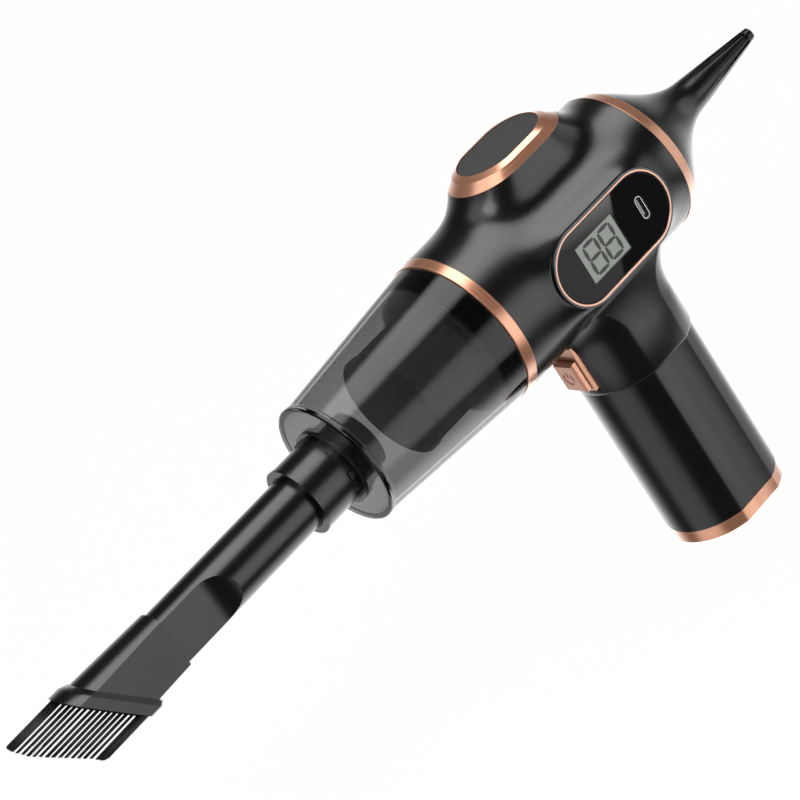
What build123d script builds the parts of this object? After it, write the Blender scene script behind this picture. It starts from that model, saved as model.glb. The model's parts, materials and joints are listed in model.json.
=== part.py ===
from build123d import *
import math
import os

# A cordless handheld vacuum cleaner with a blower nozzle. Lengths are millimetres.
# The pieces are drawn about the hub: X runs along the barrel with the suction end towards -X,
# Y runs across with the display on -Y, Z points up, and the barrel's axis is y = z = 0.
# At the end everything is lifted so that the middle of the handle's base rests on the origin.

# Shared clearances
running_clearance = 0.3
seat_clearance = 0.15
shaft_clearance = 0.03
cut_overrun = 5.0

# Where the hub stands along X from the middle of the base
hub_offset = -1.5

# Barrel and hub
hub_front = -49.0
hub_rear = 39.4
barrel_front_radius = 30.3
barrel_rear_radius = 29.3
barrel_wall = 3.0
boss_blend = 3.7
boss_peak_share = 2.5
boss_reach_degrees = 60
hub_stations = 28
hub_points = 90

# Oval bosses: the height of the face over the axis, and the oval's straight half and end radius
top_face_height = 36.5
top_foot_half = 7.7
top_foot_radius = 16.4
side_face_height = 31.2
oval_half = 14.44
oval_radius = 14.06
side_boss_margin = 0.94

# Handle: two round ends joined by flats
handle_half = 1.7
sleeve_radius = 21.8
sleeve_flat = 20.7
neck_step = 0.7
neck_edge_inset = 0.6
neck_edge_height = 1.3
neck_bottom = -55.0
neck_top = -10.0
neck_wall = 2.4
flare_radius = 19.0
flare_drop = 12.0
flare_height = 18.5
flare_steps = 8
sleeve_wall = 2.0
sleeve_spigot_length = 3.4
sleeve_gap = 0.25
sleeve_length = 65.75
base_cap_height = 6.2
base_cap_chamfer = 1.2
base_cap_floor = 2.0
base_foot_margin = 1.6
base_foot_depth = 1.2
base_foot_proud = 0.8

# Front trim ring and bulkhead
front_ring_width = 4.1
front_ring_proud = 0.45
front_ring_slope = 0.6
front_ring_wall = 2.6
bulkhead_plug_length = 3.0
bulkhead_wall = 2.8
spigot_length = 7.4
spigot_step = 2.0
air_hole_radius = 12.0
seal_groove_depth = 1.1
seal_groove_width = 2.2
seal_place_share = 0.5

# Dust cup
cup_length = 66.4
cup_step = 0.45
cup_front_radius = 24.3
cup_wall = 2.0
cup_front_wall = 2.4
cup_rim_proud = 0.5
cup_rim_width = 2.2
cup_rim_round = 0.5
cup_gap = 0.2

# Filter
filter_plug_length = 5.0
filter_flange_width = 1.8
filter_flange_radius = 24.0
filter_wall = 2.0
filter_length = 26.0
filter_front_radius = 20.0
filter_pleat_depth = 3.4
filter_pleats = 36
filter_slots = 6
filter_cap_width = 2.4
filter_cap_margin = 0.6

# Inlet collar on the cup's front
collar_radius = 13.3
collar_length = 18.6
collar_lip_proud = 0.3
collar_lip_width = 1.2
collar_flange_radius = 15.2
collar_flange_width = 1.6
collar_rib_count = 8
collar_rib_width = 2.6
collar_rib_length = 2.4
collar_rib_proud = 0.8
duct_radius = 11.4
duct_length = 13.0
duct_wall = 1.8

# Crevice tube: its lengths run forwards from the collar's front
plug_radius = 10.6
plug_length = 17.0
tube_radius = 10.4
tube_wall = 1.4
tube_bore_round_share = 0.995
tube_flat_length = 38.0
tube_flat_half = 5.8
tube_flat_margin = 0.1
tube_flat_rise = 11.0
tube_length = 66.1
tube_spigot_length = 12.6
tube_spigot_step = 1.2
tube_spigot_round = 2.2
tube_seal_width = 2.0
tube_seal_depth = 0.8
tube_seal_setback = 4.0

# Brush head, cut off at a slant: the upper side is the longer one
brush_length = 30.7
brush_slant_share = -0.8
brush_wall = 1.4
sleeve_rear_radius = 11.4
sleeve_rear_flat = 6.6
sleeve_front_radius = 12.6
sleeve_front_flat = 8.6
band_length = 7.0
band_radius = 14.0
band_flat = 9.4
band_inset = 1.2
band_slope = 2.4
band_wall = 1.0
backing_depth = 2.4
backing_sink = 2.0
backing_opening_radius = 9.4
backing_opening_flat = 5.4

# Bristles stand in tufts around the mouth: two straight rows joined by arcs
bristle_length = 20.6
bristle_slant_share = -0.93
bristle_side = 0.24
bristle_spacing = 0.34
tuft_rows = 3
tuft_columns = 3
tuft_pitch = 1.62
tuft_row_count = 11
tuft_row_half = 7.7
tuft_arc_radius = 12.4
tuft_arc_degrees = 72.0
tuft_arc_count = 9

# Display side: bezel ring, black window, panel and charging port
bezel_wall = 1.7
bezel_proud = 1.4
window_depth = 2.0
window_setback = 0.3
window_ledge = 1.0
window_pocket_depth = 6.0
lcd_width = 19.3
lcd_height = 14.8
lcd_station = -5.9
lcd_setback = 0.15
usb_station = 16.2
usb_length = 9.2
usb_thickness = 3.4
usb_wall = 0.35
usb_tongue_width = 6.2
usb_tongue_thickness = 0.8
usb_tongue_setback = 1.0
usb_floor = 1.0
display_board_thickness = 1.2
display_board_gap = 2.6
display_board_margin = 2.4

# Top cover: a sloping bezel round a plain plate
top_bezel_height = 4.2
top_plate_half = 4.84
top_plate_radius = 13.95
top_bezel_lip = 1.3
top_plate_setback = 0.25

# Rear ring and blower nozzle
rear_ring_width = 4.6
rear_ring_proud = 0.3
rear_ring_fall = 1.5
rear_ring_wall = 3.0
rear_ring_plug = 3.0
nozzle_gap = 0.25
nozzle_step = 0.5
nozzle_plug_length = 4.4
nozzle_wall = 1.5
nozzle_shoulder_length = 16.35
nozzle_shoulder_radius = 14.6
nozzle_neck_length = 25.25
nozzle_neck_radius = 9.2
nozzle_spout_length = 33.75
nozzle_spout_radius = 6.9
nozzle_length = 70.25
nozzle_tip_radius = 2.5
nozzle_tip_wall = 0.9
flute_count = 10
flute_width = 1.1
flute_depth = 0.4
flute_margin = 3.0

# Fan and motor
shroud_gap = 1.0
shroud_length = 21.0
shroud_wall = 1.5
shroud_plate = 1.6
shroud_inlet_radius = 10.5
impeller_gap = 1.2
impeller_front_gap = 1.6
impeller_length = 12.0
impeller_hub_radius = 5.0
impeller_plate = 1.6
impeller_blades = 9
impeller_blade_wall = 1.0
impeller_blade_turn = 38
impeller_blade_steps = 6
shaft_radius = 1.6
shaft_tail = 2.5
motor_gap = 9.0
motor_length = 42.0
motor_radius = 15.0
motor_wall = 1.2
motor_end_wall = 4.0
bearing_radius = 4.5
bearing_width = 3.0
rotor_radius = 8.0
rotor_length = 24.0
stator_air_gap = 0.6
mount_width = 4.0
mount_holes = 6
mount_hole_radius = 4.0
grille_width = 2.0
grille_hole_rings_shares = (0.4, 0.76)
grille_hole_counts = (8, 16)
grille_hole_radius = 2.6

# Power button in the front of the neck
button_middle = -43.5
button_width = 11.0
button_height = 12.4
button_proud = 3.7
button_chamfer = 0.9
button_flange_margin = 1.2
button_flange_depth = 1.2
button_stem_radius = 2.0
button_travel = 1.0
button_play = 0.1
button_back_gap = 0.1
symbol_radius = 2.7
symbol_line = 0.7
symbol_depth = 0.35
symbol_gap_degrees = 70
symbol_bar_share = 1.1
button_bezel_width = 12.8
button_bezel_above = 5.6
button_bezel_below = 1.4
button_bezel_proud = 1.0
button_bezel_round = 0.3
button_wall = 2.6

# Control board, switch and battery
board_setback = 8.4
board_thickness = 1.6
board_width = 27.0
board_height = 22.0
board_lift = 4.0
switch_side = 6.0
switch_depth = 3.4
switch_plunger_radius = 1.7
switch_body_share = 0.7
cell_radius = 9.15
cell_length = 65.0
cell_spacing = 19.0
holder_plate = 1.6
holder_margin = 1.2
holder_web = 1.6
lead_radius = 0.8
lead_bend = 3.0
lead_spread = 4.0
display_lead_radius = 0.9
display_lead_station = -4.0

# Screws
screw_radius = 1.25
screw_head_radius = 2.4
screw_head_depth = 1.8
screw_length = 14.0
screw_seat = 6.0
screw_boss_radius = 3.3
screw_clearance = 0.2
barrel_screw_station = 30.5
barrel_screw_height = 20.5
barrel_boss_share = 0.62
neck_screw_station = 15.5
neck_screw_heights = (-31.0, -45.5)
base_screw_station = 15.0
base_screw_side = 13.0
base_screw_length = 8.0
base_boss_height = 9.0


def turned(points):
    """Turn a closed outline of (station, radius) points about the barrel's axis."""
    return revolve(make_face(Polyline(*points, close=True)), Axis.X)


def ring(rear, front, outer, inner):
    """A plain ring on the barrel's axis between two stations."""
    return turned([(rear, inner), (front, inner), (front, outer), (rear, outer)])


def bar(start, end, radius):
    """A round bar from one point to another."""
    run = Vector(*end) - Vector(*start)
    return extrude(Plane(origin=start, z_dir=run) * Circle(radius), run.length)


def cuboid(low, high):
    """A box between two corners."""
    size = [b - a for a, b in zip(low, high)]
    return Pos(*low) * Box(*size, align=(Align.MIN, Align.MIN, Align.MIN))


def around(shape, count):
    """Copies of a shape spread evenly about the barrel's axis."""
    return [Rot(360 * turn / count, 0, 0) * shape for turn in range(count)]


def side_plane(side, height):
    """A plane facing out of the hub's side (-1 is the display side), with its y along +Z."""
    return Plane(origin=(0, side * height, 0), x_dir=(-side, 0, 0), z_dir=(0, side, 0))


def oval(half, radius):
    """An oval face with straight sides along X."""
    return SlotCenterToCenter(2 * half, 2 * radius)


# Sizes that follow from those above
bore_radius = barrel_rear_radius - barrel_wall
side_boss_radius = oval_radius + side_boss_margin
neck_radius = sleeve_radius + neck_step
neck_flat = sleeve_flat + neck_step
handle_middle = -hub_offset
handle_hollow_inset = neck_wall - neck_step + running_clearance + sleeve_wall
flare_bottom = -bore_radius - flare_drop
flare_top = flare_bottom + flare_height
sleeve_top = neck_bottom - sleeve_gap
sleeve_bottom = sleeve_top - sleeve_length
cap_bottom = sleeve_bottom - base_cap_height
base_bottom = cap_bottom - base_foot_proud
barrel_height = -base_bottom
front_ring_front = hub_front - front_ring_width
cup_rear = front_ring_front - cup_gap
cup_front = cup_rear - cup_length
cup_rear_radius = barrel_front_radius - cup_step
cup_taper = (cup_rear_radius - cup_front_radius) / cup_length
spigot_front = front_ring_front - spigot_length
spigot_radius = cup_rear_radius - cup_taper * spigot_length - cup_wall - spigot_step / 2
collar_front = cup_front - collar_length
collar_bore = plug_radius + running_clearance
tube_rear = collar_front + plug_length
tube_flat_start = collar_front - tube_flat_length
brush_rear = collar_front - tube_length
tube_shoulder = brush_rear + seat_clearance
tube_tip = tube_shoulder - tube_spigot_length
tube_spigot_width = 2 * (tube_radius - tube_spigot_step)
tube_spigot_thickness = 2 * (sleeve_rear_flat - brush_wall - running_clearance)
brush_front_middle = brush_rear - brush_length
shroud_front = hub_front + bulkhead_plug_length + shroud_gap
motor_front = shroud_front + shroud_length + motor_gap
motor_rear = motor_front + motor_length
rear_ring_rear = hub_rear + rear_ring_width
nozzle_base = rear_ring_rear + nozzle_gap
nozzle_spout = nozzle_base + nozzle_spout_length
nozzle_tip = nozzle_base + nozzle_length
neck_front = handle_middle - handle_half - neck_radius
button_front = neck_front - button_proud
board_front = neck_front + board_setback
board_rear = board_front + board_thickness
window_radius = oval_radius - bezel_wall / 2
window_face = side_face_height + bezel_proud - window_setback


def barrel_radius(station):
    """The barrel's outer radius, which falls slightly towards the rear."""
    along = (station - hub_front) / (hub_rear - hub_front)
    return barrel_front_radius + (barrel_rear_radius - barrel_front_radius) * along


def boss_share(outside):
    """How much of a boss's height is left, by distance outside its oval in blend lengths."""
    return boss_peak_share / (1 + (boss_peak_share - 1) * math.exp(outside))


def hub_radius(station, degrees):
    """The hub's outer radius: the barrel with a top boss and two side bosses blended in."""
    bosses = [
        (90, top_face_height, top_foot_half, top_foot_radius),
        (0, side_face_height, oval_half, side_boss_radius),
        (180, side_face_height, oval_half, side_boss_radius),
    ]
    barrel = barrel_radius(station)
    radius = barrel
    for turn, face, half, end_radius in bosses:
        away = (degrees - turn + 180) % 360 - 180
        if abs(away) < boss_reach_degrees:
            across = face * math.tan(math.radians(away))
            outside = math.hypot(max(abs(station) - half, 0), across) - end_radius
            reach = face / math.cos(math.radians(away))
            radius = radius + (reach - barrel) * boss_share(outside / boss_blend)
    return radius


def hub_section(station):
    """One smooth cross-section of the hub."""
    points = []
    for step in range(hub_points):
        degrees = 360 * step / hub_points
        radius = hub_radius(station, degrees)
        across = radius * math.cos(math.radians(degrees))
        up = radius * math.sin(math.radians(degrees))
        points.append((station, across, up))
    return Face(Wire(Spline(*points, periodic=True)))


def handle_face(height, half, radius, flat):
    """The handle's section at a height: two round ends and two flats."""
    reach = half + math.sqrt(radius ** 2 - flat ** 2)
    end = half + radius
    outline = [
        Line((-reach, -flat), (reach, -flat)),
        ThreePointArc((reach, -flat), (end, 0), (reach, flat)),
        Line((reach, flat), (-reach, flat)),
        ThreePointArc((-reach, flat), (-end, 0), (-reach, -flat)),
    ]
    return Pos(handle_middle, 0, height) * make_face(outline)


def handle_block(bottom, top, inset):
    """A straight length of the lower handle, set in from the sleeve's outside."""
    face = handle_face(bottom, handle_half, sleeve_radius - inset, sleeve_flat - inset)
    return extrude(face, top - bottom)


def screw_places():
    """Stations and heights of the screws that hold the two housing halves together."""
    places = [(barrel_screw_station, side * barrel_screw_height) for side in (-1, 1)]
    return places + [(neck_screw_station, height) for height in neck_screw_heights]


def hub_outside():
    """The outer form of barrel, bosses and neck in one."""
    steps = range(hub_stations + 1)
    hub = loft([hub_section(hub_front + (hub_rear - hub_front) * step / hub_stations) for step in steps])
    reach = barrel_front_radius + top_face_height
    caps = [cuboid((hub_front, -reach, top_face_height), (hub_rear, reach, reach))]
    caps.append(cuboid((hub_front, -reach, -reach), (hub_rear, -side_face_height, reach)))
    caps.append(cuboid((hub_front, side_face_height, -reach), (hub_rear, reach, reach)))
    flare_faces = []
    for step in range(flare_steps + 1):
        rise = flare_height * step / flare_steps
        spread = flare_radius - math.sqrt(flare_radius ** 2 - rise ** 2)
        flare_faces.append(handle_face(flare_bottom + rise, handle_half + spread, neck_radius, neck_flat))
    edge_top = neck_bottom + neck_edge_height
    edge_faces = [
        handle_face(neck_bottom, handle_half, neck_radius - neck_edge_inset, neck_flat - neck_edge_inset),
        handle_face(edge_top, handle_half, neck_radius, neck_flat),
    ]
    neck = extrude(edge_faces[1], neck_top - edge_top)
    collar = extrude(flare_faces[-1], neck_top - flare_top)
    return (hub - caps) + [neck, loft(edge_faces), loft(flare_faces), collar]


def housing():
    """Both housing halves: the hollow hub, split along the middle."""
    outside = hub_outside()
    bore = ring(hub_front - cut_overrun, hub_rear + cut_overrun, bore_radius, 0)
    inner_radius = neck_radius - neck_wall
    inner_flat = neck_flat - neck_wall
    inner_face = handle_face(neck_bottom - cut_overrun, handle_half, inner_radius, inner_flat)
    hollow = bore + extrude(inner_face, neck_top - neck_bottom + cut_overrun)
    solid = outside - hollow
    bosses = []
    drills = []
    for station, height in screw_places():
        boss_end = neck_flat if height in neck_screw_heights else bore_radius * barrel_boss_share
        bosses.append(bar((station, -boss_end, height), (station, boss_end, height), screw_boss_radius))
        far = side_face_height + cut_overrun
        head = screw_head_radius + screw_clearance
        drills.append(bar((station, screw_seat, height), (station, far, height), head))
        hole = screw_radius + screw_clearance
        drills.append(bar((station, screw_seat - screw_length, height), (station, screw_seat, height), hole))
    solid = solid + [boss & outside for boss in bosses]
    for side in (-1, 1):
        ledge = side_plane(side, window_face - window_depth)
        drills.append(extrude(ledge * oval(oval_half, window_radius + seat_clearance), window_depth))
        drills.append(extrude(ledge * oval(oval_half, window_radius - window_ledge), -window_pocket_depth))
    for part in button_openings():
        drills.append(part)
    solid = solid - drills
    reach = barrel_height
    left = solid & cuboid((-reach, -reach, -reach), (reach, 0, reach))
    right = solid & cuboid((-reach, 0, -reach), (reach, reach, reach))
    return left, right


def button_openings():
    """The pocket for the button's bezel and the hole for the button in the neck's front."""
    bezel = button_bezel_block(seat_clearance)
    half_width = button_width / 2 + button_flange_margin + running_clearance
    half_height = button_height / 2 + button_flange_margin + running_clearance
    low = (neck_front, -half_width, button_middle - half_height)
    high = (neck_front + board_setback, half_width, button_middle + half_height)
    return [bezel, cuboid(low, high)]


def button_bezel_block(margin):
    """The outside of the bezel, grown by a margin."""
    half = button_bezel_width / 2 + margin
    bottom = button_middle - button_height / 2 - button_bezel_below - margin
    top = button_middle + button_height / 2 + button_bezel_above + margin
    front = neck_front - button_bezel_proud
    return cuboid((front, -half, bottom), (neck_front + button_wall, half, top))


def button_bezel():
    """The copper frame that the button slides in."""
    block = button_bezel_block(0)
    front_edges = block.faces().sort_by(Axis.X)[0].edges()
    block = chamfer(front_edges, button_bezel_round)
    half_width = button_width / 2 + running_clearance
    half_height = button_height / 2 + running_clearance
    low = (neck_front - cut_overrun, -half_width, button_middle - half_height)
    high = (neck_front + cut_overrun, half_width, button_middle + half_height)
    return block - cuboid(low, high)


def power_button():
    """The button: a chamfered block with a flange behind the bezel and a stem to the switch."""
    rear = neck_front + button_wall + button_back_gap
    half_width = button_width / 2
    half_height = button_height / 2
    block = cuboid(
        (button_front, -half_width, button_middle - half_height),
        (rear, half_width, button_middle + half_height),
    )
    block = chamfer(block.faces().sort_by(Axis.X)[0].edges(), button_chamfer)
    margin = button_flange_margin
    flange = cuboid(
        (rear, -half_width - margin, button_middle - half_height - margin),
        (rear + button_flange_depth, half_width + margin, button_middle + half_height + margin),
    )
    stem_end = board_front - switch_depth - button_travel - button_play
    stem = bar((rear, 0, button_middle), (stem_end, 0, button_middle), button_stem_radius)
    face = Plane(origin=(button_front, 0, button_middle), x_dir=(0, -1, 0), z_dir=(-1, 0, 0))
    loop = Circle(symbol_radius) - Circle(symbol_radius - symbol_line)
    symbol_gap = 2 * symbol_radius * math.sin(math.radians(symbol_gap_degrees / 2))
    notch = Pos(0, symbol_radius) * Rectangle(symbol_gap, symbol_radius)
    stroke = Pos(0, symbol_radius * symbol_bar_share / 2) * Rectangle(symbol_line, symbol_radius)
    engraving = extrude(face * ((loop - notch) + stroke), -symbol_depth)
    return block + flange + stem - engraving


def front_bulkhead():
    """The wall behind the filter: a plug in the barrel, a flange in the trim ring and a spigot."""
    flange = barrel_front_radius - front_ring_wall + front_ring_proud - seat_clearance
    plug = bore_radius - seat_clearance
    plate_rear = hub_front + bulkhead_plug_length
    body = turned([
        (plate_rear, air_hole_radius),
        (plate_rear, plug),
        (hub_front, plug),
        (hub_front, flange),
        (front_ring_front, flange),
        (front_ring_front, spigot_radius),
        (spigot_front, spigot_radius),
        (spigot_front, spigot_radius - bulkhead_wall),
        (hub_front, spigot_radius - bulkhead_wall),
        (hub_front, air_hole_radius),
    ])
    middle = front_ring_front - spigot_length * seal_place_share
    half = seal_groove_width / 2
    floor = spigot_radius - seal_groove_depth
    return body - ring(middle - half, middle + half, spigot_radius + cut_overrun, floor)


def cup_seal():
    """The ring in the spigot's groove that the cup slides over."""
    middle = front_ring_front - spigot_length * seal_place_share
    half = seal_groove_width / 2 - seat_clearance
    inner = spigot_radius - seal_groove_depth
    outer = cup_inside(middle) - running_clearance
    return ring(middle - half, middle + half, outer, inner)


def cup_inside(station):
    """The cup's inner radius at a station."""
    return cup_rear_radius - cup_taper * (cup_rear - station) - cup_wall


def trim_rings():
    """The copper rings at both ends of the barrel."""
    outer = barrel_front_radius + front_ring_proud
    inner = outer - front_ring_wall
    front = turned([
        (hub_front, inner),
        (hub_front, outer),
        (front_ring_front, outer - front_ring_slope),
        (front_ring_front, inner),
    ])
    rear_outer = barrel_rear_radius + rear_ring_proud
    rear_inner = rear_outer - rear_ring_fall - rear_ring_wall
    plug = bore_radius - seat_clearance
    rear = turned([
        (hub_rear - rear_ring_plug, rear_inner),
        (hub_rear - rear_ring_plug, plug),
        (hub_rear, plug),
        (hub_rear, rear_outer),
        (rear_ring_rear, rear_outer - rear_ring_fall),
        (rear_ring_rear, rear_inner),
    ])
    return front, rear


def dust_cup():
    """The clear tapered cup with a rim round its closed front."""
    front_inside = cup_front + cup_front_wall
    rim_rear = cup_front + cup_rim_width
    rim_rear_radius = cup_inside(rim_rear) + cup_wall
    rim = cup_front_radius + cup_rim_proud
    return turned([
        (cup_rear, cup_inside(cup_rear)),
        (cup_rear, cup_rear_radius),
        (rim_rear + cup_rim_proud, rim_rear_radius),
        (rim_rear, rim),
        (cup_front + cup_rim_round, rim),
        (cup_front, rim - cup_rim_round),
        (cup_front, duct_radius + seat_clearance),
        (front_inside, duct_radius + seat_clearance),
        (front_inside, cup_inside(front_inside)),
    ])


def inlet_collar():
    """The socket for tools on the cup's front, with its duct into the cup."""
    lip = collar_radius + collar_lip_proud
    shoulder = tube_rear + seat_clearance
    duct_rear = cup_front + duct_length
    flange_front = cup_front - collar_flange_width
    body = turned([
        (duct_rear, duct_radius - duct_wall),
        (duct_rear, duct_radius),
        (cup_front, duct_radius),
        (cup_front, collar_flange_radius),
        (flange_front, collar_flange_radius),
        (flange_front, collar_radius),
        (collar_front + collar_lip_width, collar_radius),
        (collar_front + collar_lip_width, lip),
        (collar_front, lip),
        (collar_front, collar_bore),
        (shoulder, collar_bore),
        (shoulder, duct_radius - duct_wall),
    ])
    half = collar_rib_width / 2
    top = collar_radius + collar_rib_proud
    low = (flange_front - collar_rib_length, -half, collar_radius - collar_rib_proud)
    rib = cuboid(low, (flange_front, half, top))
    return body + around(rib, collar_rib_count)


def filter_pieces():
    """The filter: a frame that plugs into the bulkhead, a pleated sleeve and a front cap."""
    plug = spigot_radius - bulkhead_wall - running_clearance
    flange_rear = spigot_front - seat_clearance
    flange_front = flange_rear - filter_flange_width
    cap_rear = flange_front - filter_length
    core = filter_front_radius - filter_pleat_depth - seat_clearance
    frame = turned([
        (flange_rear + filter_plug_length, plug - filter_wall),
        (flange_rear + filter_plug_length, plug),
        (flange_rear, plug),
        (flange_rear, filter_flange_radius),
        (flange_front, filter_flange_radius),
        (flange_front, core),
        (cap_rear, core),
        (cap_rear, core - filter_wall),
        (flange_front, core - filter_wall),
    ])
    slots = around(cuboid(
        (cap_rear + filter_wall, -filter_wall, 0),
        (flange_front - filter_wall, filter_wall, core + filter_wall),
    ), filter_slots)
    outline = []
    for step in range(2 * filter_pleats):
        turn = math.radians(180 * step / filter_pleats)
        radius = filter_front_radius - filter_pleat_depth / 2 * (step % 2)
        outline.append((radius * math.cos(turn), radius * math.sin(turn)))
    star = make_face(Polyline(*outline, close=True)) - Circle(core + seat_clearance)
    pleats = extrude(Plane(origin=(cap_rear, 0, 0), x_dir=(0, 1, 0), z_dir=(1, 0, 0)) * star, filter_length)
    cap = ring(cap_rear, cap_rear - filter_cap_width, filter_front_radius + filter_cap_margin, 0)
    return frame - slots, pleats, cap


def mouth_face(station, width, thickness, corner):
    """A rounded mouth across the barrel's axis: width along Z, thickness along Y."""
    plane = Plane(origin=(station, 0, 0), x_dir=(0, 1, 0), z_dir=(-1, 0, 0))
    return plane * RectangleRounded(thickness, width, corner)


def tool_bore(station):
    """The tool's inside at a station along its flats."""
    width = tube_spigot_width - 2 * tube_wall
    return mouth_face(station, width, tube_spigot_thickness - 2 * tube_wall, tube_spigot_round - tube_wall)


def flat_cut(side):
    """The cut that makes one of the tube's flats and curves up to the round tube at its rear."""
    flat = side * tube_flat_half
    rim = side * (tube_radius + tube_flat_margin)
    front = tube_shoulder - cut_overrun
    corner = (tube_flat_start - tube_flat_rise, flat)
    end = (tube_flat_start, rim)
    level = Line((front, flat), corner)
    rise = TangentArc(corner, end, tangent=(1, 0))
    outside = Polyline(end, (front, rim), (front, flat))
    return extrude(make_face([level, rise, outside]), tube_radius, both=True)


def crevice_tube():
    """The tool's tube: a round plug, a round tube with two flats and a spigot for the brush."""
    outside = turned([
        (tube_rear, 0),
        (tube_rear, plug_radius),
        (collar_front, plug_radius),
        (collar_front, tube_radius),
        (tube_shoulder, tube_radius),
        (tube_shoulder, 0),
    ])
    spigot = mouth_face(tube_shoulder, tube_spigot_width, tube_spigot_thickness, tube_spigot_round)
    outside = outside - [flat_cut(side) for side in (-1, 1)] + extrude(spigot, tube_spigot_length)
    bore = tube_radius - tube_wall
    round_bore = ring(tube_rear + cut_overrun, collar_front, bore, 0)
    narrowing = loft([
        mouth_face(collar_front, 2 * bore, 2 * bore, bore * tube_bore_round_share),
        tool_bore(tube_flat_start),
    ])
    flat_bore = extrude(tool_bore(tube_flat_start), tube_flat_start - tube_tip + cut_overrun)
    seal_front = tube_seal_rear() - tube_seal_width
    groove = ring(tube_seal_rear(), seal_front, plug_radius + cut_overrun, plug_radius - tube_seal_depth)
    return outside - [round_bore, narrowing, flat_bore, groove]


def tube_seal_rear():
    """Where the tube's seal begins."""
    return tube_rear - tube_seal_setback


def tube_seal():
    """The seal ring in the tube's groove."""
    inner = plug_radius - tube_seal_depth + shaft_clearance
    outer = collar_bore - shaft_clearance
    rear = tube_seal_rear() - shaft_clearance
    front = tube_seal_rear() - tube_seal_width + shaft_clearance
    return ring(rear, front, outer, inner)


def slant_station(middle, height):
    """A station on the brush's slanted front."""
    return middle + brush_slant_share * height


def flat_round(station, radius, flat):
    """A round section across the barrel's axis with two flats that face along Y."""
    reach = math.sqrt(radius ** 2 - flat ** 2)
    outline = [
        Line((-flat, -reach), (-flat, reach)),
        ThreePointArc((-flat, reach), (0, radius), (flat, reach)),
        Line((flat, reach), (flat, -reach)),
        ThreePointArc((flat, -reach), (0, -radius), (-flat, -reach)),
    ]
    plane = Plane(origin=(station, 0, 0), x_dir=(0, 1, 0), z_dir=(-1, 0, 0))
    return plane * make_face(outline)


def slant_slab(rear, front_middle, length):
    """A slab behind the brush's slanted front: back to a square rear, or of a length if one is given."""
    half = band_radius + cut_overrun
    top_front = slant_station(front_middle, half)
    bottom_front = slant_station(front_middle, -half)
    rear_top = rear if length is None else top_front + length
    rear_bottom = rear if length is None else bottom_front + length
    outline = Plane.XZ * Polyline(
        (top_front, half), (rear_top, half), (rear_bottom, -half), (bottom_front, -half), close=True
    )
    return extrude(make_face(outline), half, both=True)


def slanted_block(front_middle, length, radius, flat):
    """A slanted slice, of a length along the tube, of a round bar with two flats."""
    rear = slant_station(front_middle, -band_radius - cut_overrun) + length
    front = slant_station(front_middle, band_radius + cut_overrun)
    bar_face = flat_round(rear, radius, flat)
    return extrude(bar_face, rear - front) & slant_slab(None, front_middle, length)


def band_block(inset, length):
    """The brush's band of a given length, drawn in by an inset."""
    return slanted_block(brush_front_middle, length, band_radius - inset, band_flat - inset)


def brush_head():
    """The brush's body: a widening sleeve over the spigot and a slanted band at its front."""
    far = slant_station(brush_front_middle, band_radius)
    sleeve = loft([
        flat_round(brush_rear, sleeve_rear_radius, sleeve_rear_flat),
        flat_round(far, sleeve_front_radius, sleeve_front_flat),
    ])
    sleeve = sleeve & slant_slab(brush_rear, brush_front_middle, None)
    along = Axis((0, 0, 0), (1, 0, -brush_slant_share))
    band = band_block(0, band_length - band_slope)
    blocks = (band, band_block(band_inset, band_length))
    slope = loft([block.faces().sort_by(along)[-1] for block in blocks], ruled=True)
    fit = 2 * running_clearance
    socket_end = tube_tip - running_clearance
    socket = mouth_face(
        brush_rear + cut_overrun,
        tube_spigot_width + fit,
        tube_spigot_thickness + fit,
        tube_spigot_round + running_clearance,
    )
    socket = extrude(socket, brush_rear + cut_overrun - socket_end)
    passage = extrude(tool_bore(socket_end), socket_end - slant_station(brush_front_middle, 2 * band_radius))
    seat = slanted_block(
        brush_front_middle - cut_overrun, cut_overrun + backing_sink,
        band_radius - band_wall, band_flat - band_wall,
    )
    return sleeve + [band, slope] - [socket, passage, seat]


def tuft_places():
    """Places of the tufts, across and up."""
    straight = (tuft_row_count - 1) * tuft_pitch / 2
    places = []
    for side in (-1, 1):
        for step in range(tuft_row_count):
            places.append((side * tuft_row_half, step * tuft_pitch - straight))
        for step in range(tuft_arc_count):
            turn = math.radians(tuft_arc_degrees * (step / (tuft_arc_count - 1) - 1 / 2))
            places.append((tuft_arc_radius * math.sin(turn), side * tuft_arc_radius * math.cos(turn)))
    return places


def brush_bristles():
    """Tufts of square strands standing in a slanted ring around the mouth, on a plate."""
    front = brush_front_middle + backing_sink - backing_depth
    wall = band_wall + seat_clearance
    backing = slanted_block(front, backing_depth - seat_clearance, band_radius - wall, band_flat - wall)
    opening = slanted_block(
        front - cut_overrun, backing_depth + 2 * cut_overrun, backing_opening_radius, backing_opening_flat
    )
    strands = []
    half = bristle_side / 2
    for tuft_across, tuft_height in tuft_places():
        for row in range(tuft_rows):
            across = tuft_across + (row - (tuft_rows - 1) / 2) * bristle_spacing
            for column in range(tuft_columns):
                height = tuft_height + (column - (tuft_columns - 1) / 2) * bristle_spacing
                root = slant_station(front, height) + backing_depth / 2
                tip = front - bristle_length + bristle_slant_share * height
                low = (tip, across - half, height - half)
                strands.append(cuboid(low, (root, across + half, height + half)))
    return (backing - opening).fuse(*strands)


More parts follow.
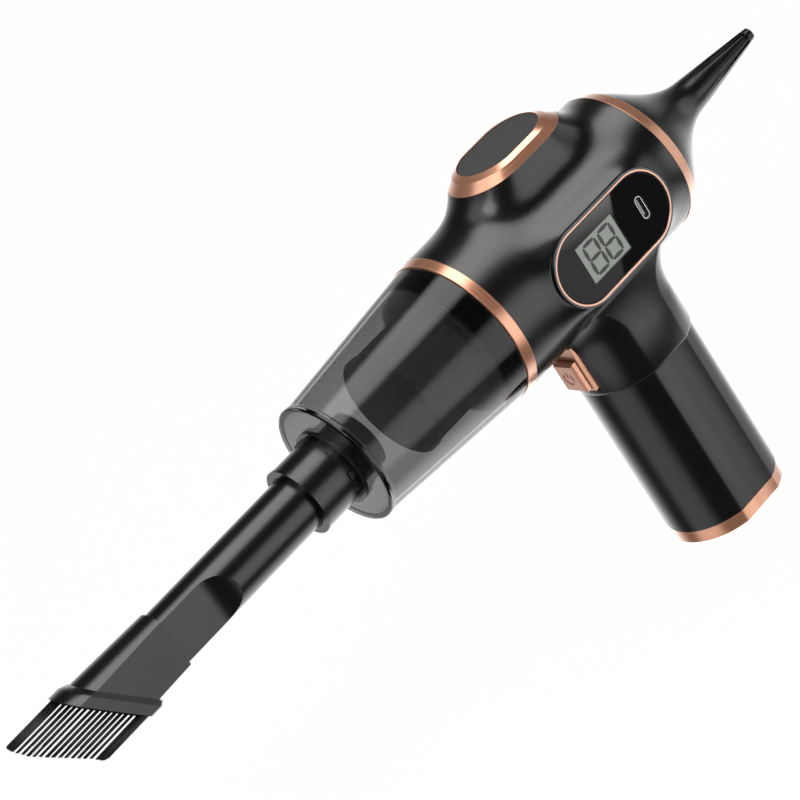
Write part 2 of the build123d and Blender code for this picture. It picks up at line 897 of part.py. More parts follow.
def display_pieces():
    """The display side: copper bezel, black window, panel, charging port and their board."""
    bezel = oval_bezel(-1)
    upright = Pos(usb_station, 0) * Rot(0, 0, 90)
    port = upright * SlotOverall(usb_length, usb_thickness)
    screen = Pos(lcd_station, 0) * Rectangle(lcd_width, lcd_height)
    gap = Pos(lcd_station, 0) * Rectangle(lcd_width + 2 * seat_clearance, lcd_height + 2 * seat_clearance)
    window_plane = side_plane(-1, window_face)
    window = extrude(window_plane * (oval(oval_half, window_radius) - gap - port), -window_depth)
    board_face = window_face - window_depth - display_board_gap
    panel_plane = side_plane(-1, window_face - lcd_setback)
    panel = extrude(panel_plane * screen, board_face - window_face + lcd_setback)
    board_plane = side_plane(-1, board_face)
    board = extrude(
        board_plane * oval(oval_half, window_radius - window_ledge - display_board_margin / 2),
        -display_board_thickness,
    )
    slim = upright * SlotOverall(usb_length - 2 * seat_clearance, usb_thickness - 2 * seat_clearance)
    inner = upright * SlotOverall(usb_length - 2 * usb_wall, usb_thickness - 2 * usb_wall)
    port_depth = window_face - window_setback - board_face
    floor_plane = side_plane(-1, board_face + usb_floor)
    shell = extrude(board_plane * slim, port_depth) - extrude(floor_plane * inner, port_depth)
    tongue_face = upright * Rectangle(usb_tongue_width, usb_tongue_thickness)
    tongue = extrude(floor_plane * tongue_face, port_depth - usb_floor - usb_tongue_setback)
    return bezel, window, panel, shell, tongue, board


def oval_bezel(side):
    """A thin copper ring round an oval plate on the hub's side."""
    face = side_plane(side, side_face_height)
    wall = oval(oval_half, oval_radius + bezel_wall / 2) - oval(oval_half, window_radius + seat_clearance)
    return extrude(face * wall, bezel_proud)


def side_plate():
    """The plain plate on the far side."""
    return extrude(side_plane(1, window_face) * oval(oval_half, window_radius), -window_depth)


def top_cover():
    """The sloping copper bezel on top and the plain plate inside it."""
    foot = Plane.XY.offset(top_face_height) * oval(top_foot_half, top_foot_radius)
    brow = Plane.XY.offset(top_face_height + top_bezel_height) * oval(top_plate_half, top_plate_radius)
    inside = top_plate_radius - top_bezel_lip
    hole = Plane.XY.offset(top_face_height) * oval(top_plate_half, inside)
    bezel = loft([foot, brow], ruled=True) - extrude(hole, top_bezel_height)
    plate_face = Plane.XY.offset(top_face_height) * oval(top_plate_half, inside - seat_clearance)
    plate = extrude(plate_face, top_bezel_height - top_plate_setback)
    return bezel, plate


def blower_nozzle():
    """The blower's nozzle: a bell that draws in to a slim fluted spout."""
    fall = barrel_rear_radius + rear_ring_proud - rear_ring_fall
    base_radius = fall - nozzle_step
    plug = fall - rear_ring_wall - running_clearance
    bell = [
        (nozzle_base + nozzle_shoulder_length, nozzle_shoulder_radius),
        (nozzle_base + nozzle_neck_length, nozzle_neck_radius),
        (nozzle_spout, nozzle_spout_radius),
    ]
    hollow = [(station, radius - nozzle_wall) for station, radius in bell]
    plug_end = nozzle_base - nozzle_plug_length
    tip_bore = nozzle_tip_radius - nozzle_tip_wall
    outline = [
        Spline((nozzle_base, base_radius), *bell),
        Line(bell[-1], (nozzle_tip, nozzle_tip_radius)),
        Line((nozzle_tip, nozzle_tip_radius), (nozzle_tip, tip_bore)),
        Line((nozzle_tip, tip_bore), hollow[-1]),
        Spline((nozzle_base, plug - nozzle_wall), *hollow),
        Line((nozzle_base, plug - nozzle_wall), (plug_end, plug - nozzle_wall)),
        Line((plug_end, plug - nozzle_wall), (plug_end, plug)),
        Line((plug_end, plug), (nozzle_base, plug)),
        Line((nozzle_base, plug), (nozzle_base, base_radius)),
    ]
    body = revolve(make_face(outline), Axis.X)
    rise = flute_width / 2 - flute_depth
    start = Vector(nozzle_spout + flute_margin, 0, nozzle_spout_radius + rise)
    end = Vector(nozzle_tip - flute_margin, 0, nozzle_tip_radius + rise)
    groove = Plane(origin=start, x_dir=(0, 1, 0), z_dir=end - start) * Rectangle(flute_width, flute_width)
    return body - around(extrude(groove, (end - start).length), flute_count)


def fan_pieces():
    """The shroud behind the bulkhead and the bladed wheel that turns in it."""
    outer = bore_radius - running_clearance
    shroud = ring(shroud_front, shroud_front + shroud_length, outer, outer - shroud_wall)
    shroud = shroud + ring(shroud_front, shroud_front + shroud_plate, outer, shroud_inlet_radius)
    wheel_radius = outer - shroud_wall - impeller_gap
    wheel_front = shroud_front + shroud_plate + impeller_front_gap
    wheel_rear = wheel_front + impeller_length
    hub = ring(wheel_front, wheel_rear, impeller_hub_radius, shaft_radius + shaft_clearance)
    plate = ring(wheel_rear - impeller_plate, wheel_rear, wheel_radius, shaft_radius + shaft_clearance)
    inside = []
    outside = []
    for step in range(impeller_blade_steps + 1):
        along = step / impeller_blade_steps
        radius = impeller_hub_radius - impeller_blade_wall + (wheel_radius - impeller_hub_radius) * along
        turn = math.radians(impeller_blade_turn * along)
        lean = impeller_blade_wall / 2 / radius
        inside.append((radius * math.cos(turn - lean), radius * math.sin(turn - lean)))
        outside.append((radius * math.cos(turn + lean), radius * math.sin(turn + lean)))
    plane = Plane(origin=(wheel_front, 0, 0), x_dir=(0, 1, 0), z_dir=(1, 0, 0))
    blade_face = make_face(Polyline(*inside, *reversed(outside), close=True))
    blade = extrude(plane * blade_face, impeller_length - impeller_plate / 2)
    wheel = hub + plate + around(blade, impeller_blades)
    return shroud, wheel, wheel_front


def motor_pieces(wheel_front):
    """The motor: can, wound ring, rotor on its shaft, two bearings and two soft mounts."""
    inner = motor_radius - motor_wall
    shaft_hole = shaft_radius + running_clearance
    seat = motor_end_wall - bearing_width
    can = turned([
        (motor_front, shaft_hole),
        (motor_front, motor_radius),
        (motor_rear, motor_radius),
        (motor_rear, shaft_hole),
        (motor_rear - seat, shaft_hole),
        (motor_rear - seat, bearing_radius),
        (motor_rear - motor_end_wall, bearing_radius),
        (motor_rear - motor_end_wall, inner),
        (motor_front + motor_end_wall, inner),
        (motor_front + motor_end_wall, bearing_radius),
        (motor_front + seat, bearing_radius),
        (motor_front + seat, shaft_hole),
    ])
    shaft = ring(wheel_front, motor_rear + shaft_tail, shaft_radius, 0)
    middle = (motor_front + motor_rear) / 2
    half = rotor_length / 2
    rotor = ring(middle - half, middle + half, rotor_radius, shaft_radius + shaft_clearance)
    stator = ring(middle - half, middle + half, inner - seat_clearance, rotor_radius + stator_air_gap)
    race = shaft_radius + shaft_clearance
    starts = (motor_front + seat, motor_rear - motor_end_wall)
    bearings = Compound(children=[ring(x, x + bearing_width, bearing_radius, race) for x in starts])
    mounts = []
    mount_outer = bore_radius - seat_clearance
    mount_inner = motor_radius + seat_clearance
    hole_place = (motor_radius + bore_radius) / 2
    for place in (motor_front + mount_width, motor_rear - mount_width):
        low = place - mount_width / 2
        high = place + mount_width / 2
        hole = bar((low, 0, hole_place), (high, 0, hole_place), mount_hole_radius)
        mounts.append(ring(low, high, mount_outer, mount_inner) - around(hole, mount_holes))
    return can, shaft, rotor, stator, bearings, mounts[0], mounts[1]


def exhaust_grille():
    """The holed disc ahead of the blower nozzle."""
    rear = hub_rear - rear_ring_plug - seat_clearance
    front = rear - grille_width
    disc_radius = bore_radius - seat_clearance
    holes = []
    for share, count in zip(grille_hole_rings_shares, grille_hole_counts):
        place = disc_radius * share
        hole = bar((front - cut_overrun, 0, place), (rear + cut_overrun, 0, place), grille_hole_radius)
        holes = holes + around(hole, count)
    return ring(front, rear, disc_radius, 0) - holes


def handle_pieces():
    """The lower handle: a sleeve with a spigot into the neck, a copper cap and a foot."""
    outside = handle_block(sleeve_bottom, sleeve_top, 0)
    spigot_top = neck_bottom + sleeve_spigot_length
    spigot = handle_block(sleeve_top, spigot_top, handle_hollow_inset - sleeve_wall)
    hollow = handle_block(sleeve_bottom - cut_overrun, spigot_top + cut_overrun, handle_hollow_inset)
    cap_shoulder = cap_bottom + base_cap_chamfer
    foot_top = cap_bottom + base_foot_depth
    drawn_in = (sleeve_radius - base_cap_chamfer, sleeve_flat - base_cap_chamfer)
    cap_faces = [
        handle_face(cap_bottom, handle_half, *drawn_in),
        handle_face(cap_shoulder, handle_half, sleeve_radius, sleeve_flat),
    ]
    cap = loft(cap_faces, ruled=True) + handle_block(cap_shoulder, sleeve_bottom, 0)
    foot_inset = base_foot_margin + base_cap_chamfer
    recess = handle_block(base_bottom, foot_top, foot_inset)
    cap_hollow = handle_block(foot_top + base_cap_floor, sleeve_bottom, handle_hollow_inset)
    bosses = []
    posts = []
    drills = []
    screws = []
    seat = foot_top + screw_head_depth
    boss_top = sleeve_bottom + base_boss_height
    hole = screw_radius + screw_clearance
    head = screw_head_radius + screw_clearance
    for side in (-1, 1):
        place = (handle_middle + side * base_screw_station, base_screw_side)
        bosses.append(bar((*place, sleeve_bottom), (*place, boss_top), screw_boss_radius))
        posts.append(bar((*place, foot_top), (*place, sleeve_bottom), screw_boss_radius))
        drills.append(bar((*place, base_bottom), (*place, boss_top), hole))
        drills.append(bar((*place, base_bottom), (*place, seat), head))
        screws.append(screw((*place, seat), (0, 0, 1), base_screw_length))
    sleeve = (outside + spigot) - hollow + [boss & outside for boss in bosses] - drills
    cap = cap - recess - cap_hollow + posts - drills
    foot = handle_block(base_bottom, foot_top, foot_inset + seat_clearance)
    return sleeve, cap, foot, Compound(children=screws)


def screw(seat, direction, length):
    """A screw with a round head; its shank runs from the seat along the direction."""
    start = Vector(*seat)
    run = Vector(*direction)
    top = start - run * screw_head_depth
    shank = bar(tuple(start), tuple(start + run * length), screw_radius)
    head = bar(tuple(top), tuple(start), screw_head_radius)
    socket = bar(tuple(top), tuple(top + run * screw_head_depth / 2), screw_radius)
    return shank + head - socket


def housing_screws():
    """The screws across the housing, their heads in the far half."""
    length = screw_length - screw_clearance
    return Compound(children=[screw((x, screw_seat, z), (0, -1, 0), length) for x, z in screw_places()])


def control_pieces():
    """The control board in the neck and the switch behind the button."""
    half = board_width / 2
    low = (board_front, -half, button_middle - board_height / 2 + board_lift)
    board = cuboid(low, (board_rear, half, button_middle + board_height / 2 + board_lift))
    body_front = board_front - switch_depth * switch_body_share
    side = switch_side / 2
    body = cuboid(
        (body_front, -side, button_middle - side), (board_front, side, button_middle + side)
    )
    plunger_end = board_front - switch_depth
    plunger = bar((body_front, 0, button_middle), (plunger_end, 0, button_middle), switch_plunger_radius)
    return board, body + plunger


def battery_pieces():
    """Two round cells side by side in a holder."""
    floor = cap_bottom + base_foot_depth + base_cap_floor
    bottom = floor + holder_plate + seat_clearance
    places = [handle_middle + side * cell_spacing / 2 for side in (-1, 1)]
    cells = Compound(children=[
        bar((place, 0, bottom), (place, 0, bottom + cell_length), cell_radius) for place in places
    ])
    top = bottom + cell_length
    reach = cell_spacing / 2 + cell_radius
    back = cell_radius + holder_web
    front = holder_margin - cell_radius
    left = handle_middle - cell_spacing / 2
    right = handle_middle + cell_spacing / 2
    room = handle_block(bottom - holder_plate, top + holder_plate, handle_hollow_inset + running_clearance)
    holder = cuboid((left, cell_radius, bottom - holder_plate), (right, back, top + holder_plate))
    for level in (bottom - holder_plate, top):
        far_corner = (handle_middle + reach, -front, level + holder_plate)
        plate = cuboid((handle_middle - reach, front, level), far_corner)
        tab = cuboid((left, front, level), (right, back, level + holder_plate))
        holder = holder + tab + (plate & room)
    return cells, holder, top + holder_plate


def lead(points, radius):
    """A lead along straight runs with round bends."""
    path = FilletPolyline(*points, radius=lead_bend)
    start = Plane(origin=path @ 0, z_dir=path % 0)
    return sweep(start * Circle(radius), path=path)


def lead_pieces(holder_top):
    """The leads from the cells, to the motor and to the display."""
    board_bottom = button_middle - board_height / 2 + board_lift
    low = board_bottom + lead_bend + lead_radius
    high = button_middle + board_height / 2 + board_lift - lead_bend
    battery = []
    motor = []
    for side in (-1, 1):
        across = side * lead_spread
        battery.append(lead([
            (handle_middle, across, holder_top),
            (handle_middle, across, low),
            (board_rear, across, low),
        ], lead_radius))
        underside = -math.sqrt(motor_radius ** 2 - lead_spread ** 2) - running_clearance
        motor.append(lead([
            (board_rear, across, high),
            (handle_middle, across, high),
            (handle_middle, across, underside),
        ], lead_radius))
    board_back = window_face - window_depth - display_board_gap - display_board_thickness
    beside = motor_radius + lead_bend
    display = lead([
        (display_lead_station, -board_back, -lead_bend),
        (display_lead_station, -beside, -lead_bend),
        (display_lead_station, -beside, button_middle),
        (display_lead_station, -board_width / 2 + lead_bend, button_middle),
        (board_rear, -board_width / 2 + lead_bend, button_middle),
    ], display_lead_radius)
    return Compound(children=battery), Compound(children=motor), display


def save(name, shape):
    """Lift a finished piece onto the base and write it."""
    placed = Pos(hub_offset, 0, barrel_height) * shape
    placed.label = name
    export_step(placed, f"parts/{name}.step")
    print(name, len(placed.solids()), round(placed.volume))


os.makedirs("parts", exist_ok=True)

housing_left, housing_right = housing()
front_ring, rear_ring = trim_rings()
filter_frame, pleats, filter_cap = filter_pieces()
bezel, window, panel, port_shell, port_tongue, display_board = display_pieces()
top_bezel, top_plate = top_cover()
shroud, wheel, wheel_front = fan_pieces()
can, shaft, rotor, stator, bearings, front_mount, rear_mount = motor_pieces(wheel_front)
sleeve, cap, foot, base_screws = handle_pieces()
board, switch = control_pieces()
cells, holder, holder_top = battery_pieces()
battery_leads, motor_leads, display_lead = lead_pieces(holder_top)

save("housing_left", housing_left)
save("housing_right", housing_right)
save("housing_screws", housing_screws())
save("front_trim_ring", front_ring)
save("rear_trim_ring", rear_ring)
save("front_bulkhead", front_bulkhead())
save("cup_seal", cup_seal())
save("dust_cup", dust_cup())
save("inlet_collar", inlet_collar())
save("filter_frame", filter_frame)
save("filter_pleats", pleats)
save("filter_cap", filter_cap)
save("tube_seal", tube_seal())
save("crevice_tube", crevice_tube())
save("brush_head", brush_head())
save("brush_bristles", brush_bristles())
save("display_bezel", bezel)
save("display_window", window)
save("lcd_panel", panel)
save("usb_shell", port_shell)
save("usb_tongue", port_tongue)
save("display_board", display_board)
save("side_bezel", oval_bezel(1))
save("side_plate", side_plate())
save("top_bezel", top_bezel)
save("top_plate", top_plate)
save("exhaust_grille", exhaust_grille())
save("blower_nozzle", blower_nozzle())
save("fan_shroud", shroud)
save("impeller", wheel)
save("motor_can", can)
save("motor_shaft", shaft)
save("motor_rotor", rotor)
save("motor_stator", stator)
save("motor_bearings", bearings)
save("front_mount", front_mount)
save("rear_mount", rear_mount)
save("button_bezel", button_bezel())
save("power_button", power_button())
save("tact_switch", switch)
save("control_board", board)
save("handle_sleeve", sleeve)
save("base_cap", cap)
save("base_foot", foot)
save("base_screws", base_screws)
save("battery_cells", cells)
save("battery_holder", holder)
save("battery_leads", battery_leads)
save("motor_leads", motor_leads)
save("display_lead", display_lead)
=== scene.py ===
# %% [markdown]
# A cordless handheld vacuum cleaner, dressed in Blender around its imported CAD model.
# The CAD gives every piece its place and size, so this script adds only what CAD leaves out:
# smooth shading, soft edges, finishes, bristles, the digits on the display, light and a camera.
# Each step is a short cell with a few words before it on what the piece is and why it is made so.

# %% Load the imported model
import json
import math
import random

import bmesh
import bpy
from mathutils import Matrix, Quaternion, Vector


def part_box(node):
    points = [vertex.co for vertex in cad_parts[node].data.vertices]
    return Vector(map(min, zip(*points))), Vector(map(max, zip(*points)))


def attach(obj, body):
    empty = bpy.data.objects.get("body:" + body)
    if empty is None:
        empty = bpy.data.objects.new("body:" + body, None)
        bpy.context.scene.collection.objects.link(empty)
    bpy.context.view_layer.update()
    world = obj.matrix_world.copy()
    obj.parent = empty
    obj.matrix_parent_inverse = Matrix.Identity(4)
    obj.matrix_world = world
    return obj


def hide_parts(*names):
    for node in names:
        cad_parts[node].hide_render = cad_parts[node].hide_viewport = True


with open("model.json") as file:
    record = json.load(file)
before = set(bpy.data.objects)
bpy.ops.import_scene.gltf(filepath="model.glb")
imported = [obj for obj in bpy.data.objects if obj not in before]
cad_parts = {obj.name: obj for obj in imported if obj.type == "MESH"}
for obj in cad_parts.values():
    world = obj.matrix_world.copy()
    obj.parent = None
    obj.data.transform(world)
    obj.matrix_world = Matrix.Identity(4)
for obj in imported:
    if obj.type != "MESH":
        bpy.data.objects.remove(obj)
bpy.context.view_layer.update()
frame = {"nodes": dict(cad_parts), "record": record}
nodes, record = frame["nodes"], frame["record"]
body_of_node = {
    node: body for body, names in record["behaviour"]["bodies"].items() for node in names
}

# %% [markdown]
# Lengths below are written in millimetres, as a maker would, and turned into metres once. Places
# could be typed in, but they are read from the CAD pieces' own boxes instead, so that they follow
# the model. The first is the front trim ring's, where the smoky cup meets the housing.

# %% Units and the front ring
mm = 0.001
ring_low, ring_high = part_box("front_trim_ring")
print("front ring from", round(ring_low.x / mm, 2), "to", round(ring_high.x / mm, 2), "mm")

# %% [markdown]
# The camera stands where the photograph was taken from: in front of the display, to the left
# and above, tilted so that the cleaner lies across the frame from corner to corner. A long lens
# keeps the shapes nearly parallel. It could be dragged into place by eye, but two angles, a
# distance and a tilt are easier to fit to a picture and to change later.

# %% Camera
view_azimuth = math.radians(-26.39)
view_elevation = math.radians(25.19)
view_tilt = math.radians(-34.21)
view_distance = 1.1
view_target = Vector((-71.29, 32.24, 110.13)) * mm
back = Vector((
    math.sin(view_azimuth) * math.cos(view_elevation),
    -math.cos(view_azimuth) * math.cos(view_elevation),
    math.sin(view_elevation),
))
camera_data = bpy.data.cameras.new("photo_camera")
camera_data.sensor_width = 36
camera_data.lens = 141.33
camera = bpy.data.objects.new("photo_camera", camera_data)
camera.rotation_mode = "QUATERNION"
camera.location = view_target + back * view_distance
camera.rotation_quaternion = (-back).to_track_quat("-Z", "Y") @ Quaternion((0, 0, 1), view_tilt)
bpy.context.scene.collection.objects.link(camera)
bpy.context.scene.camera = camera
bpy.context.scene.view_settings.view_transform = "Standard"
print("camera at", [round(value, 4) for value in camera.location])

# %% [markdown]
# Node trees are drawn by hand in the editor. Written as code they grow long, so three small
# helpers make a node with its settings, wire sockets together, and start a node group.

# %% Helpers for node trees
def add_node(tree, kind, **settings):
    """A new node with some of its properties or input sockets set."""
    node = tree.nodes.new(kind)
    for key, value in settings.items():
        if key in node.bl_rna.properties:
            setattr(node, key, value)
        else:
            node.inputs[key.replace("_", " ")].default_value = value
    return node


def wire(tree, *pairs):
    """Join output sockets to input sockets."""
    for start, end in pairs:
        tree.links.new(start, end)


def start_group(name, inputs, outputs):
    """A shader node group with float inputs and the given outputs."""
    group = bpy.data.node_groups.new(name, "ShaderNodeTree")
    for label, value in inputs.items():
        socket = group.interface.new_socket(label, in_out="INPUT", socket_type="NodeSocketFloat")
        socket.default_value = value
    for label in outputs:
        group.interface.new_socket(label, in_out="OUTPUT", socket_type="NodeSocketFloat")
    return group, group.nodes.new("NodeGroupInput"), group.nodes.new("NodeGroupOutput")


print("node helpers ready")

# %% [markdown]
# Moulded plastic is never perfectly even. Its mould has a fine spark-eroded grain, and the
# colour and gloss drift slightly over a hand's width. A picture could show this, but noise needs
# no file and no seams. Many finishes share the two effects, so they are one node group: a grain
# height, and a slow mottle.

# %% Shared effect: moulded grain
grain_group, group_in, group_out = start_group(
    "moulded_grain", {"Grain Scale": 2600.0, "Mottle Scale": 22.0}, ["Grain", "Mottle"])
place = add_node(grain_group, "ShaderNodeTexCoord")
fine = add_node(grain_group, "ShaderNodeTexNoise", Detail=3.0, Roughness=0.6)
slow = add_node(grain_group, "ShaderNodeTexNoise", Detail=4.0, Roughness=0.55)
wire(grain_group,
     (place.outputs["Object"], fine.inputs["Vector"]),
     (place.outputs["Object"], slow.inputs["Vector"]),
     (group_in.outputs["Grain Scale"], fine.inputs["Scale"]),
     (group_in.outputs["Mottle Scale"], slow.inputs["Scale"]),
     (fine.outputs["Fac"], group_out.inputs["Grain"]),
     (slow.outputs["Fac"], group_out.inputs["Mottle"]))
print("group", grain_group.name)

# %% [markdown]
# Turned and plated trim carries fine lines left by polishing. The lines run along the trim, so
# the noise is squeezed in one direction by three stretch values. Each trim then needs only its
# own values, not its own pattern.

# %% Shared effect: polishing lines
lines_group, group_in, group_out = start_group(
    "polishing_lines", {"Stretch X": 2400.0, "Stretch Y": 40.0, "Stretch Z": 40.0},
    ["Lines", "Cloud"])
place = add_node(lines_group, "ShaderNodeTexCoord")
stretch = add_node(lines_group, "ShaderNodeCombineXYZ")
squeeze = add_node(lines_group, "ShaderNodeVectorMath", operation="MULTIPLY")
strokes = add_node(lines_group, "ShaderNodeTexNoise", Scale=1.0, Detail=3.0)
cloud = add_node(lines_group, "ShaderNodeTexNoise", Scale=45.0, Detail=2.0)
wire(lines_group,
     (group_in.outputs["Stretch X"], stretch.inputs["X"]),
     (group_in.outputs["Stretch Y"], stretch.inputs["Y"]),
     (group_in.outputs["Stretch Z"], stretch.inputs["Z"]),
     (place.outputs["Object"], squeeze.inputs[0]),
     (stretch.outputs["Vector"], squeeze.inputs[1]),
     (squeeze.outputs["Vector"], strokes.inputs["Vector"]),
     (place.outputs["Object"], cloud.inputs["Vector"]),
     (strokes.outputs["Fac"], group_out.inputs["Lines"]),
     (cloud.outputs["Fac"], group_out.inputs["Cloud"]))
print("group", lines_group.name)

# %% [markdown]
# Every finish starts from a Principled shader, and its inputs come from masks. These helpers
# start a material, turn a mask into a range of values or a mix of colours, do one sum, and feed
# a height into the shader as a bump.

# %% Helpers for materials
def start_material(name):
    """A node material and its Principled shader."""
    material = bpy.data.materials.new(name)
    material.use_nodes = True
    return material, material.node_tree, material.node_tree.nodes["Principled BSDF"]


def spread(tree, mask, low, high, start=0.3, end=0.7):
    """Turn a mask into a range of values."""
    ramp = add_node(tree, "ShaderNodeMapRange",
                    From_Min=start, From_Max=end, To_Min=low, To_Max=high)
    wire(tree, (mask, ramp.inputs["Value"]))
    return ramp.outputs["Result"]


def blend_colours(tree, mask, first, second):
    """Mix two colours by a mask; the first may come from another node."""
    mix = add_node(tree, "ShaderNodeMix", data_type="RGBA")
    if isinstance(first, tuple):
        mix.inputs[6].default_value = (*first, 1)
    else:
        wire(tree, (first, mix.inputs[6]))
    mix.inputs[7].default_value = (*second, 1)
    wire(tree, (mask, mix.inputs["Factor"]))
    return mix.outputs[2]


def joined(tree, operation, first, second):
    """Two values, or a value and a number, put together."""
    node = add_node(tree, "ShaderNodeMath", operation=operation)
    wire(tree, (first, node.inputs[0]))
    if isinstance(second, float):
        node.inputs[1].default_value = second
    else:
        wire(tree, (second, node.inputs[1]))
    return node.outputs[0]


def raise_by(tree, height, shader, strength, distance):
    """Feed a height into the shader's normal through a bump."""
    bump = add_node(tree, "ShaderNodeBump", Strength=strength, Distance=distance)
    wire(tree, (height, bump.inputs["Height"]), (bump.outputs["Normal"], shader.inputs["Normal"]))


print("material helpers ready")

# %% [markdown]
# Most of the object is moulded plastic or trim metal. Each piece could have its own node tree,
# but the trees would differ only in a few numbers, so one function makes each kind.

# %% Two kinds of finish
def plastic(name, dark, light, rough, grain=0.12, grain_scale=2600.0):
    """A moulded plastic: two near colours, a range of roughness and a fine grain."""
    material, tree, shader = start_material(name)
    effect = add_node(tree, "ShaderNodeGroup", node_tree=grain_group, Grain_Scale=grain_scale)
    wire(tree,
         (blend_colours(tree, effect.outputs["Mottle"], dark, light), shader.inputs["Base Color"]),
         (spread(tree, effect.outputs["Mottle"], *rough), shader.inputs["Roughness"]))
    raise_by(tree, effect.outputs["Grain"], shader, grain, 0.05 * mm)
    return material


def add_lines(tree, x, y, z):
    """The polishing lines, squeezed by three stretch values."""
    return add_node(tree, "ShaderNodeGroup", node_tree=lines_group,
                    Stretch_X=x, Stretch_Y=y, Stretch_Z=z)


def trim_metal(name, dark, light, rough, stretch, bump=0.02, metallic=1.0, coat=0.0):
    """A plated or lacquered metal with polishing lines along it."""
    material, tree, shader = start_material(name)
    effect = add_lines(tree, *stretch)
    wire(tree,
         (blend_colours(tree, effect.outputs["Cloud"], dark, light), shader.inputs["Base Color"]),
         (spread(tree, effect.outputs["Lines"], *rough), shader.inputs["Roughness"]))
    raise_by(tree, effect.outputs["Lines"], shader, bump, 0.02 * mm)
    shader.inputs["Metallic"].default_value = metallic
    shader.inputs["Coat Weight"].default_value = coat
    shader.inputs["Coat Roughness"].default_value = 0.15
    return material


print("plastic and trim metal can be made")

# %% [markdown]
# The main finishes. The housing and handle are a charcoal plastic with a satin surface, the
# display window is polished black, and all trim is coloured rose copper. The copper is a metallic
# lacquer: its flakes mirror a part of the light and scatter the rest, so the shader is only
# partly metallic, and a clear coat over it adds the pale glints.

# %% Plastics and copper
satin_black = plastic(
    "satin_black", (0.003, 0.003, 0.0035), (0.005, 0.005, 0.0055), (0.23, 0.28), grain=0.05)
inner_black = plastic(
    "inner_black", (0.010, 0.010, 0.010), (0.016, 0.016, 0.016), (0.45, 0.6))
gloss_black = plastic(
    "gloss_black", (0.004, 0.004, 0.005), (0.006, 0.006, 0.007), (0.008, 0.012), grain=0.0)
cover_black = plastic(
    "cover_black", (0.045, 0.045, 0.047), (0.055, 0.055, 0.057), (0.40, 0.48), grain=0.2)
soft_rubber = plastic(
    "soft_rubber", (0.012, 0.012, 0.012), (0.02, 0.02, 0.02), (0.7, 0.85), grain=0.4)
copper = {
    "dark": (0.63, 0.26, 0.14), "light": (0.77, 0.39, 0.245), "rough": (0.20, 0.30),
    "metallic": 0.6, "coat": 1.0,
}
copper_ring = trim_metal("copper_ring", stretch=(2400, 30, 30), **copper)
copper_top = trim_metal("copper_top", stretch=(40, 40, 2400), **copper)
steel = trim_metal(
    "steel", (0.50, 0.50, 0.51), (0.62, 0.62, 0.63), (0.18, 0.30), (2400, 60, 60))
contact_steel = trim_metal(
    "contact_steel", (0.16, 0.16, 0.17), (0.22, 0.22, 0.23), (0.3, 0.4), (60, 60, 2400))
print("plastics and metals ready")

# %% [markdown]
# The two oval side bezels are stamped frames in dark metal. Only their inner edge is plated in
# copper, so it reads as a thin bright line around the window. The line could be a ring of its
# own, but on the real frame it is a finish. It follows the oval at a fixed distance from its
# middle line, so that distance is worked out in the material.

# %% Side bezels with a copper line
bezel_low, bezel_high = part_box("display_bezel")
window_low, window_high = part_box("display_window")
oval_half = (bezel_high.x - bezel_low.x) / 2 - (bezel_high.z - bezel_low.z) / 2
line_width, line_blur = 0.85 * mm, 0.08 * mm
line_edge = (window_high.z - window_low.z) / 2 + line_width
side_trim, tree, shader = start_material("side_trim")
place = add_node(tree, "ShaderNodeTexCoord")
middle = add_node(tree, "ShaderNodeVectorMath", operation="SUBTRACT")
middle.inputs[1].default_value = (bezel_low + bezel_high) / 2
parts = add_node(tree, "ShaderNodeSeparateXYZ")
beside = add_node(tree, "ShaderNodeMath", operation="ABSOLUTE")
flat = add_node(tree, "ShaderNodeCombineXYZ")
reach = add_node(tree, "ShaderNodeVectorMath", operation="LENGTH")
wire(tree,
     (place.outputs["Object"], middle.inputs[0]),
     (middle.outputs["Vector"], parts.inputs["Vector"]),
     (parts.outputs["X"], beside.inputs[0]),
     (parts.outputs["Z"], flat.inputs["Z"]),
     (flat.outputs["Vector"], reach.inputs[0]))
past_half = joined(tree, "SUBTRACT", beside.outputs[0], oval_half)
wire(tree, (joined(tree, "MAXIMUM", past_half, 0.0), flat.inputs["X"]))
outer = spread(
    tree, reach.outputs["Value"], 0.0, 1.0, line_edge - line_blur, line_edge + line_blur)
lines = add_lines(tree, 40, 2400, 40).outputs["Lines"]
colour = blend_colours(tree, outer, (0.70, 0.42, 0.31), (0.09, 0.09, 0.095))
wire(tree,
     (colour, shader.inputs["Base Color"]),
     (spread(tree, lines, 0.30, 0.40), shader.inputs["Roughness"]))
shader.inputs["Metallic"].default_value = 1.0
print(side_trim.name, "has a line up to", round(line_edge / mm, 2), "mm from the middle line")

# %% [markdown]
# The smoky cup is clear plastic with a grey tint. Light is tinted each time it enters or leaves
# a wall, so the tint is set much paler than the cup looks. The walls are real, with two faces
# each. Towards its outline light runs a longer way inside the wall and comes out darker, and the
# wall mirrors less there than clean glass would; a layer weight sets both. The rear rim, which
# slides over the housing, is tinted darker.

